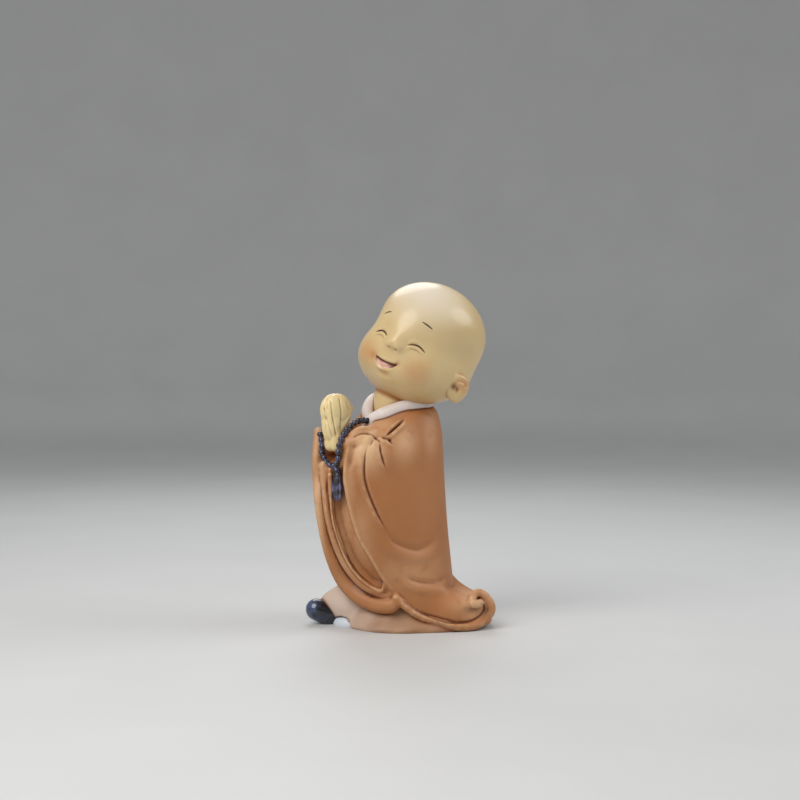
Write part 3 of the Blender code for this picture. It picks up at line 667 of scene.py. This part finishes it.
def makeHead():
    skull = bmesh.new()
    bmesh.ops.create_uvsphere(skull, u_segments=240, v_segments=160, radius=1.0)
    p = np.array([v.co for v in skull.verts])
    moveTo(skull, p * (headShape(p) * headSizes["radius"])[:, None])
    bmesh.ops.transform(skull, matrix=headFrame(), verts=skull.verts[:])

    def carve(points, normals):
        local = inHead(points)
        direction = local / np.linalg.norm(local, axis=1)[:, None]
        return faceCarving(direction) * headSizes["radius"]

    head = cast("head", [skull, ear(1, 0.19, -38), ear(-1, 0.04, -14)], headSizes["cell"], 2, carve)
    keepValue(head, "headPlace", inHead(vertexArray(head.data)), "FLOAT_VECTOR")
    return head


# Neck and collar: two crossed bands of a pale under-garment
collarSizes = {
    "neck": ((0.2, -1.6, 53), (0.2, -1.7, 60), (0.8, -1.0, 66), (2.2, 1.0, 71)),
    "neckRadii": (6.4, 6.4, 6.6, 7.5),
    "near": (
        (-0.8, -11.0, 54.9, 1.5), (1.7, -11.0, 57.1, 2.2), (4.9, -8.9, 59.3, 2.2),
        (7.3, -5.1, 61.1, 2.05), (8.3, -0.7, 62.1, 1.95), (7.6, 4.0, 62.7, 1.7),
        (3.6, 6.9, 63.4, 1.4), (-0.5, 7.6, 63.6, 1.4),
    ),
    "far": (
        (0.8, -10.0, 57.0, 1.2), (-1.4, -9.8, 58.7, 1.6), (-3.8, -8.2, 61.0, 1.8),
        (-5.8, -4.6, 63.6, 1.7), (-6.4, 1.8, 64.2, 1.5), (-3.4, 6.4, 64.0, 1.4), (0.5, 7.4, 63.6, 1.4),
    ),
}


def makeNeck():
    return cast("neck", [tube(collarSizes["neck"], collarSizes["neckRadii"], sides=64, steps=12)], 0.3, 2)


def makeCollar():
    bands = (collarSizes["near"], collarSizes["far"])
    parts = [tube([p[:3] for p in band], [p[3] for p in band], sides=24, steps=10) for band in bands]
    return cast("collar", parts, 0.2, 2)


# Hands pressed together
handSizes = {
    "fingers": ((-23.9, -24.5, 62.6), (-22.7, -23.2, 64.2), (-21.4, -21.7, 65.0), (-20.1, -20.1, 64.3)),
    "grooves": (  # across and height on the drawing plane
        ((-20.9, 62.0), (-19.8, 57.4), (-18.3, 53.4)),
        ((-18.9, 64.0), (-18.3, 59.0), (-17.2, 53.6)),
        ((-16.6, 64.6), (-16.0, 60.6), (-16.2, 55.4)),
        ((-19.9, 63.9), (-19.8, 60.5)),
        ((-14.6, 63.4), (-13.6, 60.2)),
    ),
    "grooveDepth": 0.32,
    "grooveHalfWidth": 0.38,
    "cell": 0.17,
}


def makeHands():
    parts = []
    for side in (1, -1):
        parts.append(ball((1.0 * side, -21.5, 60.9), (2.2, 4.3, 4.5), 24))
        parts.append(ball((1.0 * side, -22.5, 57.0), (2.0, 2.7, 5.2), 24))
        for base, tip, top in handSizes["fingers"]:
            middle = (base + tip) / 2
            line = ((1.5 * side, base, 57.0), (1.55 * side, middle, 60.8), (0.9 * side, tip, top - 1))
            parts.append(tube(line, (1.1, 1.1, 1.0), sides=24, steps=10))
        thumb = ((1.6 * side, -21.2, 55.8), (1.5 * side, -19.2, 58.6), (1.0 * side, -17.5, 61.4))
        parts.append(tube(thumb, (1.3, 1.25, 0.95), sides=24, steps=10))
        wrist = ((1.1 * side, -22.1, 56.0), (1.4 * side, -22.2, 51.2))
        parts.append(tube(wrist, (1.8, 1.8), sides=32, steps=8))

    def grooves(points, normals):
        across, out = quarterPlane(points)
        carve = np.zeros(len(points))
        for line in handSizes["grooves"]:
            d, side, end = toLine(across, points[:, 2], line)
            carve -= bump(d, handSizes["grooveHalfWidth"]) * smoothStep(0.2 + end / 1.5)
        return carve * handSizes["grooveDepth"]

    return cast("hands", parts, handSizes["cell"], 5, grooves)


# Prayer beads with a knot and a tassel
beadSizes = {
    "radius": 0.92,
    "loop": (
        (-9.0, 57.8, 9.4), (-10.6, 58.0, 11.2), (-12.2, 57.5, 13.2), (-13.9, 56.1, 15.4),
        (-15.4, 54.2, 17.4), (-16.4, 51.6, 18.6), (-16.7, 49.0, 18.4), (-17.0, 46.8, 17.4),
        (-18.6, 45.6, 15.2), (-20.3, 46.7, 12.8),
        (-21.4, 48.7, 11.2), (-21.6, 51.2, 10.0), (-22.0, 54.0, 8.8),
    ),
    "knot": ((-17.2, 44.4, 16.4), (1.1, 1.1, 1.2)),  # place, radii
    "tassel": ((-17.0, 43.2, 16.6), (-17.0, 40.5, 16.6), (-17.0, 37.6, 16.6)),
    "tasselRadii": (0.9, 1.4, 1.3),
}


def makeBeads():
    curve = through([fromPlane(*spot) for spot in beadSizes["loop"]], 40)
    run = np.concatenate(([0], np.cumsum(np.linalg.norm(np.diff(curve, axis=0), axis=1))))
    radius = beadSizes["radius"]
    count = int(run[-1] / (1.8 * radius))
    rng = np.random.default_rng(7)
    parts = []
    for distance in np.linspace(0, run[-1], count):
        centre = [np.interp(distance, run, curve[:, k]) for k in range(3)]
        parts.append(ball(centre, radius * rng.uniform(0.9, 1.08, 3), 16))
    parts.append(tube(curve[::20], [0.5 * radius] * len(curve[::20]), sides=8, steps=2))
    knot, knotRadii = beadSizes["knot"]
    parts.append(ball(fromPlane(*knot), knotRadii, 16))
    return cast("prayerBeads", parts, 0.12, 1)


def makeTassel():
    def threads(along, angle):
        return 1 + 0.09 * np.sin(9 * angle) * smoothStep(along / 0.2)

    line = [fromPlane(*spot) for spot in beadSizes["tassel"]]
    body = tube(line, beadSizes["tasselRadii"], sides=72, steps=16, swell=threads)
    return cast("tassel", [body], 0.10, 1)


# Shoe and the white garment edge beside it
shoeSizes = {
    "line": ((-8.8, -13.6, 2.2), (-10.2, -17.2, 3.0), (-11.6, -20.6, 4.3)),
    "radii": (2.9, 3.3, 3.1),
}
whiteEdgeSizes = {"centre": (-5.4, -13.2, 0.6), "radii": (5.6, 4.8, 3.1)}


def makeShoe():
    toe = tube(shoeSizes["line"], shoeSizes["radii"], sides=48, steps=12)
    return cast("shoe", [toe], 0.2, 2, flatBelow=True)


def makeWhiteEdge():
    mound = ball(whiteEdgeSizes["centre"], whiteEdgeSizes["radii"], 32)
    return cast("whiteEdge", [mound], 0.22, 1, flatBelow=True)


# Paints

def paint(text):
    # an sRGB colour as linear light
    parts = [int(text[k:k + 2], 16) / 255 for k in (1, 3, 5)]
    return tuple(c / 12.92 if c <= 0.04045 else ((c + 0.055) / 1.055) ** 2.4 for c in parts) + (1.0,)


def addNode(tree, kind, inputs=None, **settings):
    node = tree.nodes.new("ShaderNode" + kind)
    for name, value in settings.items():
        setattr(node, name, value)
    for key, value in (inputs or {}).items():
        if isinstance(value, bpy.types.NodeSocket):
            tree.links.new(value, node.inputs[key])
        else:
            node.inputs[key].default_value = value
    return node


def newPaint(name, roughness, coat=0.0):
    material = bpy.data.materials.new(name)
    material.use_nodes = True
    shader = material.node_tree.nodes["Principled BSDF"]
    shader.inputs["Roughness"].default_value = roughness
    shader.inputs["Coat Weight"].default_value = coat
    shader.inputs["Coat Roughness"].default_value = 0.12
    return material, material.node_tree, shader


def value(tree, name):
    return addNode(tree, "Attribute", attribute_name=name).outputs["Fac"]


def ranged(tree, source, low, high):
    # 0 to 1 as the source goes from low to high
    inputs = {"Value": source, "From Min": low, "From Max": high}
    return addNode(tree, "MapRange", inputs, interpolation_type="SMOOTHSTEP").outputs["Result"]


def maths(tree, operation, a, b=0.0, c=0.0):
    return addNode(tree, "Math", {0: a, 1: b, 2: c}, operation=operation).outputs[0]


def blended(tree, share, a, b):
    return addNode(tree, "Mix", {0: share, 6: a, 7: b}, data_type="RGBA").outputs[2]


def mottle(tree, millimetres, detail=3.0):
    # soft cloudy variation with features of this size
    place = addNode(tree, "TexCoord").outputs["Object"]
    inputs = {"Vector": place, "Scale": 1000 / millimetres, "Detail": detail}
    return addNode(tree, "TexNoise", inputs).outputs["Fac"]


def brushedBump(tree, shader, millimetres, height):
    grain = mottle(tree, millimetres)
    inputs = {"Height": grain, "Strength": 0.35, "Distance": height}
    tree.links.new(addNode(tree, "Bump", inputs).outputs["Normal"], shader.inputs["Normal"])


def washedAndShaded(tree, colour, dark, shallow, deep, strength):
    # thin dark wash paint and painted shade in creases, and painted shade along the seams where pieces
    # meet
    seamShade = ranged(tree, value(tree, "seamShade"), 0.1, 0.9)
    crease = maths(tree, "MAXIMUM", ranged(tree, value(tree, "relief"), shallow, deep), seamShade)
    return blended(tree, maths(tree, "MULTIPLY", crease, strength), colour, dark)


def robePaint():
    # ochre-brown satin paint with a red-brown wash and painted shade in the folds and seams, pale
    # dry-brushing on the ridges, and pale dry-brushing with painted highlight in patches
    material, tree, shader = newPaint("painted_resin_robe", 0.5)
    colour = blended(tree, ranged(tree, mottle(tree, 16), 0.3, 0.7), paint("#A4683A"), paint("#AE7242"))
    dryBrushAndHighlight = maths(tree, "MULTIPLY", value(tree, "dryBrushAndHighlight"), ranged(tree, mottle(tree, 4), 0.1, 0.5))
    # pale dry-brushed paint and painted highlight in patches
    colour = blended(tree, dryBrushAndHighlight, colour, paint("#E6BE92"))
    # red-brown wash and painted shade in creases and seams
    colour = washedAndShaded(tree, colour, paint("#66300F"), -0.02, -0.22, 0.9)
    ridge = ranged(tree, value(tree, "relief"), 0.03, 0.26)
    rub = maths(tree, "MULTIPLY", ridge, ranged(tree, mottle(tree, 1.6), 0.25, 0.6))
    colour = blended(tree, maths(tree, "MULTIPLY", rub, 0.7), colour, paint("#D8B48C"))
    tree.links.new(colour, shader.inputs["Base Color"])
    brushedBump(tree, shader, 0.6, 0.00004)
    return material


def underRobePaint():
    # pinkish white at the front that turns to tan towards the train: a paler paint with painted highlight
    # at the front and painted shade towards the train, and a brown wash with painted shade in its creases
    # and seams
    material, tree, shader = newPaint("painted_resin_under_robe", 0.5)
    place = addNode(tree, "TexCoord").outputs["Object"]
    x = addNode(tree, "SeparateXYZ", {"Vector": place}).outputs["X"]
    # paler paint, with painted highlight towards the front and painted shade towards the train
    pale = ranged(tree, x, 0.014, -0.012)
    tan = blended(tree, ranged(tree, mottle(tree, 9), 0.35, 0.7), paint("#9C7050"), paint("#A67C5A"))
    colour = blended(tree, pale, tan, paint("#C8B2A2"))
    colour = washedAndShaded(tree, colour, paint("#8A4A24"), -0.02, -0.22, 0.8)
    tree.links.new(colour, shader.inputs["Base Color"])
    brushedBump(tree, shader, 0.6, 0.00004)
    return material


def strokeMask(tree, across, up, stroke, thick):
    # a thin painted arc: 1 on the line, tapering to its ends
    share = maths(tree, "DIVIDE", maths(tree, "SUBTRACT", across, stroke["middle"]), stroke["halfWidth"])
    square = maths(tree, "MINIMUM", maths(tree, "MULTIPLY", share, share), 1.2)
    rise = maths(tree, "MULTIPLY_ADD", square, -stroke["rise"], stroke["end"] + stroke["rise"])
    line = maths(tree, "MULTIPLY_ADD", share, stroke["slope"] * stroke["halfWidth"], rise)
    away = maths(tree, "ABSOLUTE", maths(tree, "SUBTRACT", up, line))
    width = maths(tree, "MULTIPLY_ADD", square, -thick * 0.5, thick)
    near = maths(tree, "DIVIDE", away, width)
    ends = ranged(tree, maths(tree, "ABSOLUTE", share), 1.05, 0.92)
    return maths(tree, "MULTIPLY", ranged(tree, near, 1.25, 0.75), ends)


def skinPaint(name, face, washAndShade, low="#D0B480", high="#D6BC8A"):
    # warm cream satin paint with a dark wash and painted shade in creases and seams; the face is
    # airbrushed tan with painted shade low down, with rosy cheeks and fine brown lines
    material, tree, shader = newPaint(name, 0.40, 0.25)
    shader.inputs["Subsurface Weight"].default_value = 0.08
    shader.inputs["Subsurface Radius"].default_value = (1.0, 0.5, 0.3)
    shader.inputs["Subsurface Scale"].default_value = 0.0010
    colour = blended(tree, ranged(tree, mottle(tree, 14), 0.3, 0.7), paint(low), paint(high))
    colour = washedAndShaded(tree, colour, paint(washAndShade), -0.015, -0.16, 0.8)
    if face:
        colour = facePaint(tree, colour)
    tree.links.new(colour, shader.inputs["Base Color"])
    brushedBump(tree, shader, 0.5, 0.00002)
    return material


def tinted(tree, colour, point, spot):
    # a soft airbrushed spot of colour, also used for painted shade and painted highlight: where it is,
    # how far it reaches, how strong and which colour
    centre, size, strength, tint = spot
    away = addNode(tree, "VectorMath", {0: point, 1: centre}, operation="DISTANCE").outputs["Value"]
    share = maths(tree, "MULTIPLY", ranged(tree, away, size, 0.0), strength)
    return blended(tree, share, colour, paint(tint))


def facePaint(tree, colour):
    place = addNode(tree, "Attribute", attribute_name="headPlace").outputs["Vector"]
    local = addNode(tree, "SeparateXYZ", {"Vector": place})
    left, up = local.outputs["X"], local.outputs["Z"]
    ahead = maths(tree, "MULTIPLY", local.outputs["Y"], -1.0)
    front = ranged(tree, ahead, 0.3, 0.4)
    side = maths(tree, "ABSOLUTE", left)
    # tan airbrushing and painted shade, darker towards the chin
    chin = ranged(tree, maths(tree, "MULTIPLY_ADD", ahead, 0.25, up), -0.52, -0.95)
    colour = blended(tree, maths(tree, "MULTIPLY", chin, 0.95), colour, paint("#B8762E"))
    bothSides = addNode(tree, "CombineXYZ", {"X": side, "Y": ahead, "Z": up}).outputs[0]
    oneSide = addNode(tree, "CombineXYZ", {"X": left, "Y": ahead, "Z": up}).outputs[0]
    for spot in headSizes["cheeks"]:
        colour = tinted(tree, colour, bothSides, spot)
    for spot in headSizes["tints"]:
        colour = tinted(tree, colour, oneSide, spot)
    mouth = headSizes["mouth"]
    share = maths(tree, "DIVIDE", maths(tree, "SUBTRACT", left, mouth["middle"]), mouth["halfWidth"])
    square = maths(tree, "MULTIPLY", share, share)
    smile = maths(tree, "MAXIMUM", maths(tree, "SUBTRACT", 1.0, square), 0.0)
    top = maths(tree, "MULTIPLY_ADD", smile, -0.028, mouth["corner"])
    skew = maths(tree, "MULTIPLY_ADD", share, 0.22 * mouth["drop"], -mouth["drop"])
    bottom = maths(tree, "MULTIPLY_ADD", maths(tree, "POWER", smile, 0.6), skew, mouth["corner"])
    depth = maths(tree, "SUBTRACT", top, up)
    rim = maths(tree, "MULTIPLY", ranged(tree, depth, -0.008, 0.006), ranged(tree, smile, 0.0, 0.08))
    above = ranged(tree, maths(tree, "SUBTRACT", up, bottom), -0.008, 0.012)
    inside = maths(tree, "MULTIPLY", maths(tree, "MULTIPLY", rim, above), front)
    tongue = maths(tree, "MULTIPLY", ranged(tree, depth, 0.014, 0.045), ranged(tree, share, 0.7, 0.1))
    colour = blended(tree, inside, colour, blended(tree, tongue, paint("#5E2312"), paint("#DDA898")))
    strokes = [(side, headSizes["eye"], 0.0125, 0.95, "#33200F")]
    strokes.append((side, headSizes["lowerLid"], 0.008, 0.5, "#7A5430"))
    for brow in headSizes["brows"]:
        strokes.append((maths(tree, "MULTIPLY", left, brow["side"]), brow, 0.0125, 0.95, "#33200F"))
    for across, stroke, thick, strength, line in strokes:
        mask = maths(tree, "MULTIPLY", strokeMask(tree, across, up, stroke, thick), front)
        colour = blended(tree, maths(tree, "MULTIPLY", mask, strength), colour, paint(line))
    return colour


def collarPaint():
    # pale lilac-white with a brown wash and painted shade along its folds and seams
    material, tree, shader = newPaint("painted_resin_collar", 0.48)
    colour = blended(tree, ranged(tree, mottle(tree, 5), 0.35, 0.7), paint("#D6C9C2"), paint("#E4DAD6"))
    colour = washedAndShaded(tree, colour, paint("#7A4A2A"), -0.02, -0.18, 0.9)
    tree.links.new(colour, shader.inputs["Base Color"])
    brushedBump(tree, shader, 0.5, 0.00003)
    return material


def whitePaint():
    # plain off-white with grey-blue painted shade in its creases and where it meets the skirt and shoe
    material, tree, shader = newPaint("painted_resin_white", 0.45)
    colour = washedAndShaded(tree, paint("#CDD4DC"), paint("#6C7890"), -0.02, -0.2, 0.7)
    tree.links.new(colour, shader.inputs["Base Color"])
    brushedBump(tree, shader, 0.5, 0.00003)
    return material


def lacquer(name, dark, sheen, roughness, patch=2.2):
    # near-black gloss lacquer with soft random patches of blue as painted sheen
    material, tree, shader = newPaint(name, roughness, 0.6)
    # soft blue patches of painted sheen
    shade = ranged(tree, mottle(tree, patch), 0.42, 0.70)
    colour = blended(tree, maths(tree, "MULTIPLY", shade, 0.75), paint(dark), paint(sheen))
    tree.links.new(colour, shader.inputs["Base Color"])
    brushedBump(tree, shader, 0.35, 0.00005)
    return material


# Build, paint and place each piece

robe = makeRobe()
underRobe = makeSkirt()
head = makeHead()
neck = makeNeck()
collar = makeCollar()
hands = makeHands()
prayerBeads = makeBeads()
tassel = makeTassel()
shoe = makeShoe()
whiteEdge = makeWhiteEdge()

handPaint = skinPaint("painted_resin_hands", False, "#8C6C26", "#E2C890", "#EAD4A0")
painted = (  # piece, paint, the pieces it meets, how far their shadow line reaches, passes for its relief
    (robe, robePaint(), (collar, hands, underRobe), 0.9, 10),
    (underRobe, underRobePaint(), (robe, shoe, whiteEdge), 0.9, 12),
    (head, skinPaint("painted_resin_face", True, "#A0602C"), (neck, robe), 2.2, 14),
    (neck, skinPaint("painted_resin_neck", False, "#A0602C"), (head, collar), 1.2, 10),
    (collar, collarPaint(), (neck, robe), 0.3, 12),
    (hands, handPaint, (robe, prayerBeads), 0.7, 12),
    (prayerBeads, lacquer("bead_lacquer", "#15151F", "#4C4C78", 0.3), (), 0.5, 6),
    (tassel, lacquer("tassel_lacquer", "#2A2A38", "#7C7CA8", 0.35), (), 0.5, 6),
    (shoe, lacquer("shoe_lacquer", "#16181E", "#5C6C98", 0.26, 7.0), (underRobe,), 0.5, 8),
    (whiteEdge, whitePaint(), (underRobe, shoe), 0.6, 8),
)
for piece, material, others, reach, passes in painted:
    keepValue(piece, "relief", relief(piece, passes))
    keepSeamShade(piece, others, reach)
    piece.data.materials.clear()
    piece.data.materials.append(material)
print("painted")

shift = Matrix.Scale(unit, 4) @ Matrix.Translation(-Vector(figure["middle"]))
for piece, *rest in painted:
    piece.data.transform(shift)
    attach(piece, "root")
    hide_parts("monk_figure")
print("placed")


# Stage: a pale bowl-shaped sweep, soft lights and the camera
view = {
    "away": 420,
    "eyeHeight": 74,
    "aimHeight": 63.3,
    "sensor": 36,
    "pixelsPerUnit": 3.54,  # at the aim, in a picture of this width
    "picture": 800,
}


def makeStage():
    profile = ((0.0, 0.0), (0.75, 0.0), (0.95, 0.05), (1.08, 0.18), (1.15, 0.42), (1.16, 0.9))
    curve = through(profile, 12)
    bm = bmesh.new()
    bmesh.ops.create_circle(bm, segments=96, radius=1.0)
    edges = bm.edges[:]
    bmesh.ops.contextual_create(bm, geom=edges)
    for row in range(1, len(curve)):
        edges = raised(bm, edges)
    for vert in bm.verts:
        row = int(round(vert.co.z))
        reach, height = curve[row]
        vert.co = (vert.co.x * max(reach, 0.01), vert.co.y * max(reach, 0.01), height)
    mesh = bpy.data.meshes.new("floor")
    bm.to_mesh(mesh)
    bm.free()
    mesh.shade_smooth()
    floor = bpy.data.objects.new("floor", mesh)
    bpy.context.collection.objects.link(floor)
    material, tree, shader = newPaint("pale_floor", 0.6)
    colour = blended(tree, ranged(tree, mottle(tree, 60), 0.3, 0.7), paint("#C9C9C8"), paint("#CCCCCB"))
    tree.links.new(colour, shader.inputs["Base Color"])
    mesh.materials.append(material)


def inFrame(across, z, out):
    return shift @ Vector(fromPlane(across, z, out))


def addLight(name, spot, size, power, colour):
    data = bpy.data.lights.new(name, "AREA")
    data.shape = "DISK"
    data.size = size
    data.energy = power
    data.color = colour
    light = bpy.data.objects.new(name, data)
    bpy.context.collection.objects.link(light)
    light.location = inFrame(*spot)
    light.rotation_euler = (Vector((0, 0, 0.05)) - light.location).to_track_quat("-Z", "Y").to_euler()


def addCamera():
    data = bpy.data.cameras.new("camera")
    camera = bpy.data.objects.new("camera", data)
    bpy.context.collection.objects.link(camera)
    camera.location = inFrame(0, view["eyeHeight"], view["away"])
    aim = inFrame(0, view["aimHeight"], 0)
    camera.rotation_euler = (aim - camera.location).to_track_quat("-Z", "Y").to_euler()
    reach = math.hypot(view["away"], view["eyeHeight"] - view["aimHeight"])
    data.sensor_width = view["sensor"]
    data.lens = view["sensor"] * view["pixelsPerUnit"] * reach / view["picture"]
    data.clip_start = 0.01
    bpy.context.scene.camera = camera


makeStage()
addLight("key", (-240, 380, 300), 0.42, 2.1, (1.0, 0.98, 0.95))
addLight("window", (420, 300, 20), 0.34, 1.0, (0.98, 0.99, 1.0))
addLight("back", (-60, 420, -380), 0.35, 0.9, (0.96, 0.98, 1.0))
world = bpy.data.worlds.new("studio")
bpy.context.scene.world = world
world.use_nodes = True
world.node_tree.nodes["Background"].inputs["Color"].default_value = (0.95, 0.97, 1.0, 1.0)
world.node_tree.nodes["Background"].inputs["Strength"].default_value = 0.42
bpy.context.scene.view_settings.view_transform = "Standard"
addCamera()
print("stage, lights and camera")
